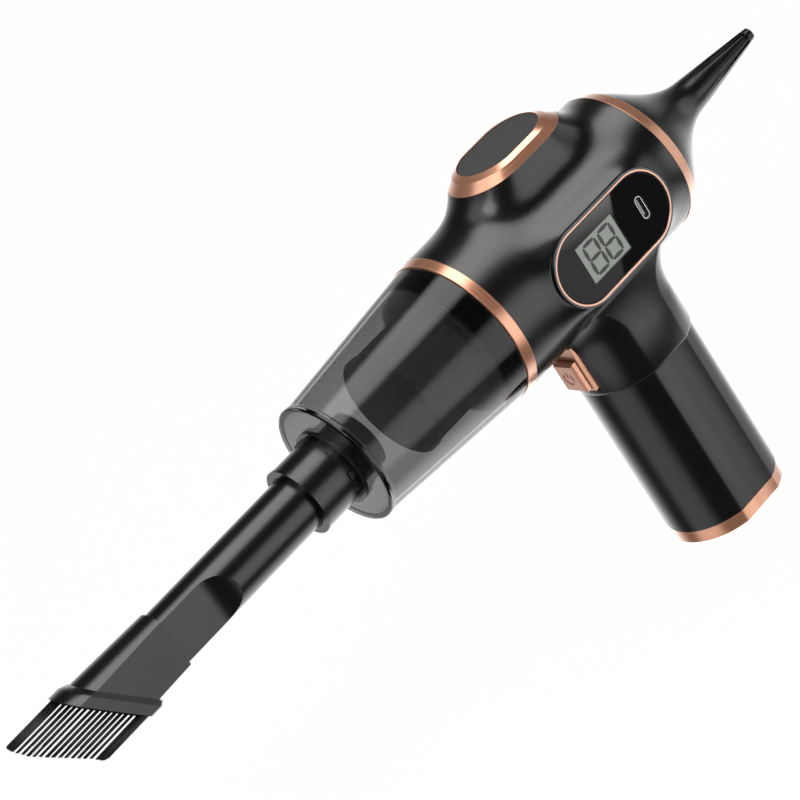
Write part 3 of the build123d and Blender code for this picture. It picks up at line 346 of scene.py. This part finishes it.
# %% Smoky clear plastic
tint_dark, tint_light = (0.38, 0.375, 0.38), (0.43, 0.425, 0.43)
outline_tint, rim_tint = (0.17, 0.17, 0.175), (0.06, 0.06, 0.062)
rim_length, rim_blur = 9.3 * mm, 0.1 * mm
facing_index, outline_index = 1.38, 1.18
rim_start = ring_low.x - rim_length
smoky_clear, tree, shader = start_material("smoky_clear")
effect = add_node(tree, "ShaderNodeGroup", node_tree=grain_group, Mottle_Scale=30.0)
slope = add_node(tree, "ShaderNodeLayerWeight", Blend=0.5).outputs["Facing"]
place = add_node(tree, "ShaderNodeTexCoord")
along = add_node(tree, "ShaderNodeSeparateXYZ")
wire(tree, (place.outputs["Object"], along.inputs["Vector"]))
outline = spread(tree, slope, 0.0, 1.0, 0.3, 0.85)
rim = spread(tree, along.outputs["X"], 0.0, 1.0, rim_start - rim_blur, rim_start + rim_blur)
tint = blend_colours(tree, effect.outputs["Mottle"], tint_dark, tint_light)
tint = blend_colours(tree, outline, tint, outline_tint)
wire(tree,
     (blend_colours(tree, rim, tint, rim_tint), shader.inputs["Base Color"]),
     (spread(tree, effect.outputs["Mottle"], 0.02, 0.05), shader.inputs["Roughness"]),
     (spread(tree, slope, facing_index, outline_index, 0.62, 0.9), shader.inputs["IOR"]))
shader.inputs["IOR"].default_value = facing_index
shader.inputs["Transmission Weight"].default_value = 1.0
print("material", smoky_clear.name)

# %% [markdown]
# Pieces that sit inside, or are small, still get finishes of their own: filter cloth, the green
# of circuit boards, the wrap of the cells, the windings and the sleeves of the leads. They are
# made by the same two functions, so a finish costs one line.

# %% Small and inner finishes
filter_cloth = plastic(
    "filter_cloth", (0.05, 0.05, 0.052), (0.13, 0.13, 0.133), (0.8, 0.95), 0.8, grain_scale=900.0)
board_green = plastic("board_green", (0.01, 0.10, 0.04), (0.02, 0.16, 0.06), (0.3, 0.4))
cell_wrap = plastic("cell_wrap", (0.03, 0.12, 0.30), (0.04, 0.16, 0.38), (0.25, 0.35), 0.02)
lead_red = plastic("lead_red", (0.30, 0.01, 0.01), (0.40, 0.02, 0.02), (0.5, 0.6))
lead_black = plastic("lead_black", (0.01, 0.01, 0.01), (0.02, 0.02, 0.02), (0.5, 0.6))
winding = trim_metal(
    "winding", (0.45, 0.16, 0.07), (0.60, 0.26, 0.12), (0.3, 0.4), (1600, 60, 60), bump=0.4)
lcd_grey = plastic("lcd_grey", (0.33, 0.36, 0.32), (0.38, 0.41, 0.37), (0.25, 0.35), 0.02)
print("small finishes ready")

# %% [markdown]
# CAD meshes arrive as loose triangles. A copy of a node whose doubles are merged can be shaded
# smooth, with sharp edges kept where two faces meet at a clear angle. A narrow bevel then rounds
# those edges, as every moulded or plated piece has them, so that they catch the light. The bevel
# is a modifier, because that leaves the copy's own mesh simple.

# %% Helpers for smooth copies
def merged(node):
    """A CAD node's mesh with its doubles merged and its flat faces made whole."""
    shape = bmesh.new()
    shape.from_mesh(nodes[node].data)
    bmesh.ops.remove_doubles(shape, verts=shape.verts, dist=0.001 * mm)
    bmesh.ops.dissolve_limit(shape, angle_limit=math.radians(0.5), verts=shape.verts,
                             edges=shape.edges, delimit={"NORMAL"})
    shape.normal_update()
    return shape


def new_object(name, shape, material):
    """Turn a bmesh into an object with one material, and link it to the scene."""
    mesh = bpy.data.meshes.new(name)
    shape.to_mesh(mesh)
    shape.free()
    if "custom_normal" in mesh.attributes:
        mesh.attributes.remove(mesh.attributes["custom_normal"])
    mesh.materials.clear()
    mesh.materials.append(material)
    made = bpy.data.objects.new(name, mesh)
    bpy.context.scene.collection.objects.link(made)
    return made


def finish_piece(name, shape, material, node, edge=0.0, crease=32):
    """Turn a bmesh into an object that stands for a CAD node and rides on its body."""
    piece = new_object(name, shape, material)
    if edge:
        rounding = piece.modifiers.new("soft_edges", "BEVEL")
        rounding.width = edge * mm
        rounding.segments = 2
        rounding.limit_method = "ANGLE"
        rounding.angle_limit = math.radians(crease)
        rounding.profile = 0.5
        rounding.harden_normals = True
    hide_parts(node)
    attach(piece, body_of_node[node])
    return piece


def smooth_copy(node, material, crease=32, edge=0.0, shape=None):
    """A merged, smooth-shaded copy that stands for a CAD node."""
    shape = shape or merged(node)
    for face in shape.faces:
        face.smooth = True
    for line in shape.edges:
        line.smooth = line.calc_face_angle(0) < math.radians(crease)
    return finish_piece(node + "_skin", shape, material, node, edge, crease)


print("copy helpers ready")

# %% [markdown]
# Now the pieces that show. Each gets a smooth copy in its finish. Trim, tool and cup also get
# soft edges. The nozzle's flutes meet at steep angles that are still meant to look smooth, so its
# crease angle is larger.

# %% Smooth copies of the visible pieces
soft_edge, fluted_crease, plain_crease = 0.25, 75, 32
skins = {
    "housing_left": satin_black, "housing_right": satin_black, "handle_sleeve": satin_black,
    "crevice_tube": satin_black, "brush_head": satin_black, "blower_nozzle": satin_black,
    "inlet_collar": satin_black, "dust_cup": smoky_clear, "display_window": gloss_black,
    "side_plate": gloss_black, "top_plate": cover_black, "front_trim_ring": copper_ring,
    "rear_trim_ring": copper_ring, "display_bezel": side_trim, "side_bezel": side_trim,
    "base_cap": copper_top, "button_bezel": copper_ring, "power_button": copper_ring,
    "front_bulkhead": inner_black, "filter_frame": inner_black, "filter_cap": inner_black,
    "filter_pleats": filter_cloth, "base_foot": soft_rubber, "usb_shell": steel,
    "usb_tongue": contact_steel, "lcd_panel": lcd_grey,
}
soft_edged = {
    "front_trim_ring", "rear_trim_ring", "display_bezel", "side_bezel", "base_cap", "top_plate",
    "inlet_collar", "crevice_tube", "brush_head", "dust_cup", "power_button", "display_window",
    "side_plate",
}
pieces = {}
for node, material in skins.items():
    crease = fluted_crease if node == "blower_nozzle" else plain_crease
    edge = soft_edge if node in soft_edged else 0.0
    pieces[node] = smooth_copy(node, material, crease, edge)
print("smooth copies:", len(pieces))

# %% [markdown]
# The top bezel is a cast frame whose rim is cut to a wide chamfer, so that it shows two bands: a
# bright one that looks up, and a darker flank below it. A bevel on the CAD copy would follow its
# triangles and turn out jagged, so the frame is built from ovals: each is a circle whose two
# halves are drawn apart, and a bridge joins each oval to the next, from the foot up the flank,
# over the chamfer to the rim and down inside. Sizes come from the CAD pieces' boxes.

# %% Top bezel with a chamfer
oval_steps = 96


def oval_loop(shape, middle, half, radius, height):
    """The edges of an oval: a circle with its halves drawn apart along the barrel."""
    made = bmesh.ops.create_circle(shape, segments=oval_steps, radius=radius)["verts"]
    bmesh.ops.rotate(shape, verts=made, matrix=Matrix.Rotation(math.pi / oval_steps, 3, "Z"))
    for side in (-1, 1):
        end = [vert for vert in made if vert.co.x * side > 0]
        bmesh.ops.translate(shape, verts=end, vec=(side * half, 0, 0))
    bmesh.ops.translate(shape, verts=made, vec=(middle.x, middle.y, height))
    return list({line for vert in made for line in vert.link_edges})


top_low, top_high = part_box("top_bezel")
plate_low, plate_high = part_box("top_plate")
plate_gap, rim_width, brow_width, chamfer = 0.15 * mm, 0.15 * mm, 1.3 * mm, 0.30
foot_radius = (top_high.y - top_low.y) / 2
foot_half = (top_high.x - top_low.x) / 2 - foot_radius
hole_radius = (plate_high.y - plate_low.y) / 2 + plate_gap
hole_half = (plate_high.x - plate_low.x) / 2 - (plate_high.y - plate_low.y) / 2
brow_radius = hole_radius + brow_width
shoulder_radius = brow_radius + (foot_radius - brow_radius) * chamfer
shoulder_half = hole_half + (foot_half - hole_half) * chamfer
shoulder = top_high.z + (top_low.z - top_high.z) * chamfer
shape = bmesh.new()
loops = [oval_loop(shape, (top_low + top_high) / 2, *size) for size in (
    (foot_half, foot_radius, top_low.z), (shoulder_half, shoulder_radius, shoulder),
    (hole_half, hole_radius + rim_width, top_high.z), (hole_half, hole_radius, top_high.z),
    (hole_half, hole_radius, top_low.z))]
for first, second in zip(loops, loops[1:] + loops[:1]):
    bmesh.ops.bridge_loops(shape, edges=first + second)
bmesh.ops.recalc_face_normals(shape, faces=shape.faces)
pieces["top_bezel"] = smooth_copy("top_bezel", copper_top, crease=12, edge=0.12, shape=shape)
print("top bezel: shoulder radius", round(shoulder_radius / mm, 2), "mm")

# %% [markdown]
# The pieces that stay as the CAD made them are inside. They only get their finishes, because
# smooth copies of them would never be seen.

# %% Finishes of the inner nodes
inner_finishes = {
    inner_black: ["fan_shroud", "exhaust_grille", "battery_holder", "impeller", "tact_switch"],
    soft_rubber: ["cup_seal", "tube_seal", "front_mount", "rear_mount"],
    steel: ["motor_can", "motor_shaft", "motor_bearings", "housing_screws", "base_screws",
            "motor_rotor"],
    winding: ["motor_stator"], cell_wrap: ["battery_cells"],
    board_green: ["control_board", "display_board"],
    lead_red: ["battery_leads"], lead_black: ["motor_leads", "display_lead"],
}
for material, names in inner_finishes.items():
    for name in names:
        nodes[name].data.materials.clear()
        nodes[name].data.materials.append(material)
print("inner finishes:", sum(len(names) for names in inner_finishes.values()))

# %% [markdown]
# The brush carries tufts of nylon bristle, set in a slanted ring around the mouth: two straight
# rows along the flats, joined by arcs. The holes of the front row stand in line with those of the
# rear row as seen from the camera, so light shows between the tufts. They could be spaced evenly
# on each row instead, but then the rows would fill each other's gaps. Each line of sight is a
# step, and it meets each row and each arc once. A second ring of tufts closes the two ends.

# %% Where the tufts stand
row, row_end, ring_radius, half_turn = 7.7, 9.2, 12.4, 36
pitch, steps = 1.49, range(-6, 7)
sight_y, sight_z = 0.465, 0.885
end_radii, end_turns, end_start = (11.4, 12.5), range(-6, 52, 5), 10.2


def on_arc(side, radius, turn):
    """A place on one of the two arcs, by its turn in degrees."""
    return side * radius * math.sin(math.radians(turn)), side * radius * math.cos(math.radians(turn))


tufts = []
for step in steps:
    line_up = pitch * step
    for side in (-1, 1):
        height = (line_up - sight_y * side * row) / sight_z
        if abs(height) <= row_end:
            tufts.append((side * row, height))
        cosine = line_up * side / ring_radius / math.hypot(sight_y, sight_z)
        lean = math.degrees(math.acos(max(-1, min(1, cosine))))
        turn = math.degrees(math.atan2(sight_y, sight_z)) - lean
        if abs(turn) <= half_turn:
            tufts.append(on_arc(side, ring_radius, turn))
for side in (-1, 1):
    for radius in end_radii:
        ends = [on_arc(side, radius, turn) for turn in end_turns]
        tufts += [(y, z) for y, z in ends if abs(sight_y * y + sight_z * z) > end_start]
print("tufts:", len(tufts))

# %% [markdown]
# A machine folds each bunch of fibres over, stamps it into a hole in the plate and trims the ends
# together. The plate is a copy of the CAD node, cut off just beyond its slanted face. Hair
# particles could stand for the fibres, but they are no mesh. So each fibre is a thin cone with
# few faces, and the fibres of a tuft lean a little, each in its own way.

# %% Bristle plate and fibres
hub = Vector((-1.5, 0, 128)) * mm
plate_front, plate_slant, plate_rest, root_depth = -235.5, -0.8, 0.4, 0.5
bristle_length, tip_slant, tip_skew, tip_scatter = 19.8, -0.93, 0.107, 0.2
fibres, tuft_radius, fibre_lean = 22, 0.46, 0.06
root_radius, tip_radius = 0.12 * mm, 0.08 * mm
bristle_nylon = plastic(
    "bristle_nylon", (0.006, 0.006, 0.006), (0.014, 0.014, 0.014), (0.35, 0.5), grain=0.0)
shape = bmesh.new()
shape.from_mesh(nodes["brush_bristles"].data)
bmesh.ops.remove_doubles(shape, verts=shape.verts, dist=0.001 * mm)
bmesh.ops.bisect_plane(
    shape, geom=shape.verts[:] + shape.edges[:] + shape.faces[:], dist=0.001 * mm,
    plane_co=hub + Vector((plate_front - plate_rest, 0, 0)) * mm,
    plane_no=(-1, 0, plate_slant), clear_outer=True)
bmesh.ops.holes_fill(shape, edges=[line for line in shape.edges if line.is_boundary], sides=0)
luck = random.Random(7)
for across, height in tufts:
    for _ in range(fibres):
        turn, reach = luck.uniform(0, 2 * math.pi), tuft_radius * math.sqrt(luck.random())
        y, z = across + reach * math.cos(turn), height + reach * math.sin(turn)
        root = Vector((plate_front + plate_slant * z + root_depth, y, z))
        trim = luck.uniform(-tip_scatter, tip_scatter)
        tip = Vector((plate_front - bristle_length + tip_slant * z + tip_skew * y + trim,
                      y + luck.gauss(0, fibre_lean), z + luck.gauss(0, fibre_lean)))
        line = tip - root
        turned = line.to_track_quat("Z", "Y").to_matrix().to_4x4()
        place = Matrix.Translation(hub + (root + tip) / 2 * mm) @ turned
        bmesh.ops.create_cone(shape, cap_ends=True, segments=5, radius1=root_radius,
                              radius2=tip_radius, depth=line.length * mm, matrix=place)
for face in shape.faces:
    face.smooth = True
pieces["brush_bristles"] = finish_piece(
    "brush_bristles_fibres", shape, bristle_nylon, "brush_bristles")
print("fibres:", fibres * len(tufts))

# %% [markdown]
# The display is a small liquid crystal panel behind the black window. Its two digits are seven
# bars each, with pointed ends and narrow gaps, as a printed electrode pattern has them. They could
# be painted in a material, but bars of real shape stay crisp and are exported. Each bar is a
# six-sided plate: a hexagon whose two halves are drawn apart.

# %% Digits on the display
lcd_low, lcd_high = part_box("lcd_panel")
lcd_middle = (lcd_low + lcd_high) / 2
digit_places, digit_width, digit_height = (-3.95, 4.05), 5.85, 11.5
bar_width, bar_gap, bar_height, bar_sunk = 1.35, 0.4, 0.08, 0.01
half_width, half_height, point = digit_width / 2, digit_height / 4, bar_width / math.sqrt(3)
bars = [(0, 2 * half_height, False), (0, 0, False), (0, -2 * half_height, False)]
bars += [(side * half_width, level * half_height, True) for side in (-1, 1) for level in (-1, 1)]


def add_bar(shape, length, place):
    """A flat six-sided bar, moved to its place."""
    made = bmesh.ops.create_circle(shape, cap_ends=True, segments=6, radius=point * mm)["verts"]
    for side in (-1, 1):
        end = [vert for vert in made if vert.co.x * side > 0]
        bmesh.ops.translate(shape, verts=end, vec=(side * (length / 2 - point) * mm, 0, 0))
    raised = bmesh.ops.extrude_face_region(shape, geom=[made[0].link_faces[0]])["geom"]
    raised = [part for part in raised if isinstance(part, bmesh.types.BMVert)]
    bmesh.ops.translate(shape, verts=raised, vec=(0, 0, bar_height * mm))
    bmesh.ops.transform(shape, matrix=place, verts=made + raised)


shape = bmesh.new()
stood = Matrix.Rotation(math.radians(90), 4, "X")
for digit_x in digit_places:
    for bar_x, bar_z, upright in bars:
        length = (2 * half_height if upright else digit_width) - bar_gap
        turned = Matrix.Rotation(math.radians(90 if upright else 0), 4, "Z")
        spot = Vector((lcd_middle.x + (digit_x + bar_x) * mm, lcd_low.y + bar_sunk * mm,
                       lcd_middle.z + bar_z * mm))
        add_bar(shape, length, Matrix.Translation(spot) @ stood @ turned)
bmesh.ops.recalc_face_normals(shape, faces=shape.faces)
segment_dark = plastic(
    "segment_dark", (0.010, 0.012, 0.011), (0.022, 0.024, 0.022), (0.3, 0.4), grain=0.02)
digits = new_object("lcd_digits", shape, segment_dark)
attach(digits, body_of_node["lcd_panel"])
print("bars on the display:", len(digit_places) * len(bars))

# %% [markdown]
# Dark glossy things are lit by what they mirror. This studio has a white sheet below and behind
# the object, which gives every piece a bright rim, a wide soft box overhead, a second one low in
# front and weaker ones to the left, the upper left and the right; the rest of the room is dark.
# On the real set these are frames of white cloth with lamps behind them. Here they are painted on
# the world as soft patches around a few directions, and only mirrored light sees them.

# %% Helpers for the studio's walls
def towards(tree, look, direction, start, end):
    """A soft patch of the studio around a direction: 0 beyond one cosine, 1 within another."""
    dot = add_node(tree, "ShaderNodeVectorMath", operation="DOT_PRODUCT")
    dot.inputs[1].default_value = Vector(direction).normalized()
    fade = add_node(tree, "ShaderNodeMapRange", interpolation_type="SMOOTHSTEP",
                    From_Min=start, From_Max=end)
    wire(tree, (look, dot.inputs[0]), (dot.outputs["Value"], fade.inputs["Value"]))
    return fade.outputs["Result"]


def choose(tree, switch, no, yes):
    """One of two values by a switch; each may be a number."""
    node = add_node(tree, "ShaderNodeMix", data_type="FLOAT")
    wire(tree, (switch, node.inputs[0]))
    for socket, value in ((node.inputs[2], no), (node.inputs[3], yes)):
        if isinstance(value, float):
            socket.default_value = value
        else:
            wire(tree, (value, socket))
    return node.outputs[0]


def plain_ray(tree):
    """A switch for what the camera sees straight or through clear walls, and the light path."""
    seen = add_node(tree, "ShaderNodeLightPath").outputs
    return joined(tree, "MAXIMUM", seen["Is Camera Ray"], seen["Is Transmission Ray"]), seen


print("studio helpers ready")

# %% [markdown]
# The soft boxes, each with its direction, the cosines at which it starts and is full, and its
# strength. The sheet fades upwards and to both sides. The front box has a dark post in it. Flat
# polished faces mirror the post crisply: it is what cuts across the display window.

# %% Soft boxes
world = bpy.data.worlds.new("studio")
bpy.context.scene.world = world
world.use_nodes = True
tree = world.node_tree
look = add_node(tree, "ShaderNodeTexCoord").outputs["Generated"]
ways = add_node(tree, "ShaderNodeSeparateXYZ")
wire(tree, (look, ways.inputs["Vector"]))
soft_boxes = {
    "overhead": ((0.40, -0.13, 0.91), 0.90, 0.97, 5.0),
    "front": ((0.40, -0.89, -0.22), 0.86, 0.97, 2.2),
    "left": ((-0.90, -0.06, -0.43), 0.86, 0.98, 1.15),
    "upper_left": ((-0.40, -0.03, 0.91), 0.84, 0.97, 1.7),
    "right": ((0.94, -0.27, -0.12), 0.90, 0.975, 1.0),
}
boxes = {name: joined(tree, "MULTIPLY", towards(tree, look, *patch), strength)
         for name, (*patch, strength) in soft_boxes.items()}
boxes["sheet"] = towards(tree, look, -back, 0.1, 0.5)
for fade in (spread(tree, ways.outputs["Z"], 2.0, 0.0, -0.35, 0.45),
             spread(tree, ways.outputs["X"], 0.0, 1.0, -0.6, -0.1),
             spread(tree, ways.outputs["X"], 1.0, 0.0, 0.68, 0.98)):
    boxes["sheet"] = joined(tree, "MULTIPLY", boxes["sheet"], fade)
post_side = (-0.7096, -0.6215, 0.332)
past_post = towards(tree, look, post_side, -0.0004, 0.0004)
near_post = joined(tree, "SUBTRACT", towards(tree, look, post_side, -0.032, -0.028),
                   towards(tree, look, post_side, 0.024, 0.03))
beside_post = joined(tree, "MULTIPLY", past_post,
                     spread(tree, ways.outputs["Z"], 0.3, 2.1, -0.416, -0.4045))
boxes["front"] = joined(
    tree, "MULTIPLY", boxes["front"], choose(tree, near_post, 1.0, beside_post))
print("soft boxes:", ", ".join(boxes))

# %% [markdown]
# The world: white for the camera and through clear walls, an even grey for plain light, and the
# soft boxes for mirrors. A picture of a studio could do the same, but here each box can be moved
# by its numbers.

# %% World
even_light, room_light, white = 0.5, 0.06, 1.0
mirrored = joined(tree, "ADD", boxes.pop("sheet"), room_light)
for box in boxes.values():
    mirrored = joined(tree, "ADD", mirrored, box)
background = tree.nodes["Background"]
background.inputs["Color"].default_value = (1, 1, 1, 1)
plain, seen = plain_ray(tree)
level = choose(tree, seen["Is Glossy Ray"], even_light, mirrored)
wire(tree, (choose(tree, plain, level, white), background.inputs["Strength"]))
print("world", world.name, "with plain light", even_light)

# %% [markdown]
# The floor is a plain pale sheet far larger than the object. It glows white for the camera, with
# a share of real shading left in it, so that the object still throws a soft shadow. Brighter
# lamps could whiten it too, but they would bleach the object. Mirrors look past it at the
# studio's walls.

# %% Floor
floor_reach, floor_glow, glow_share = 6.0, 1.03, 0.93
floor_paint, tree, shader = start_material("studio_floor")
shader.inputs["Base Color"].default_value = (0.8, 0.8, 0.8, 1)
shader.inputs["Roughness"].default_value = 0.9
glow = add_node(tree, "ShaderNodeEmission", Color=(1, 1, 1, 1))
blend = add_node(tree, "ShaderNodeMixShader", Fac=glow_share)
plain, seen = plain_ray(tree)
wire(tree,
     (choose(tree, plain, even_light, floor_glow), glow.inputs["Strength"]),
     (shader.outputs["BSDF"], blend.inputs[1]),
     (glow.outputs["Emission"], blend.inputs[2]),
     (blend.outputs["Shader"], tree.nodes["Material Output"].inputs["Surface"]))
shape = bmesh.new()
bmesh.ops.create_grid(shape, x_segments=1, y_segments=1, size=floor_reach)
floor = new_object("studio_floor", shape, floor_paint)
floor.visible_glossy = False
print("floor", 2 * floor_reach, "m wide")

# %% [markdown]
# One real lamp, a large soft box above and to the left, gives the plain light its direction and
# the object its shadow. It is an area lamp, because a small one would throw a hard shadow.

# %% Lamp
lamp_place, lamp_target = Vector((-0.5, -0.5, 0.9)), Vector((-0.05, 0, 0.12))
lamp_data = bpy.data.lights.new("key_lamp", "AREA")
lamp_data.shape = "RECTANGLE"
lamp_data.size = lamp_data.size_y = 0.5
lamp_data.energy = 4
lamp = bpy.data.objects.new("key_lamp", lamp_data)
lamp.location = lamp_place
lamp.rotation_mode = "QUATERNION"
lamp.rotation_quaternion = (lamp_target - lamp_place).to_track_quat("-Z", "Y")
bpy.context.scene.collection.objects.link(lamp)
print("lamp", lamp.name, "of", lamp_data.energy, "W")
